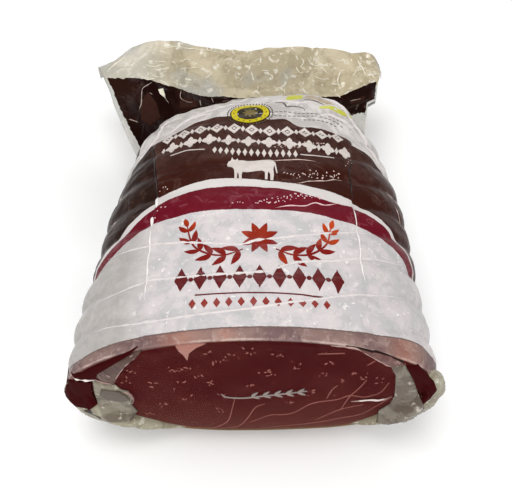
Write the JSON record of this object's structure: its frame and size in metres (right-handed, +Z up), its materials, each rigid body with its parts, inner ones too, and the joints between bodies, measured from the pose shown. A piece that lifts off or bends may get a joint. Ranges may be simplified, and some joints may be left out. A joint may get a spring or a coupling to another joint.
{
  "type": "vacuum-packed bresaola",
  "caption": "Half a bresaola, a tied and pressed cured beef muscle cut straight across, shrunk tight into a printed clear bag whose flat crumpled tail stands out behind it.",
  "frame": {"origin": "middle of the bounding box's underside, on the surface it lies on", "axes": "+Z up, the cut end faces -Y, the bag's flat tail points to +Y, +X to the right seen from the cut end"},
  "size_m": [0.188, 0.2332, 0.0917],
  "materials": {
    "printed_film": "glossy shrunk film printed dark brown, crimson and greyish white",
    "clear_film": "clear shrunk film, glossy, finely crumpled",
    "cured_meat": "dark red cured beef, moist, thin pale marbling"
  },
  "bodies": {
    "root": {"bresaola_pack": "printed_film"}
  },
  "joints": []
}
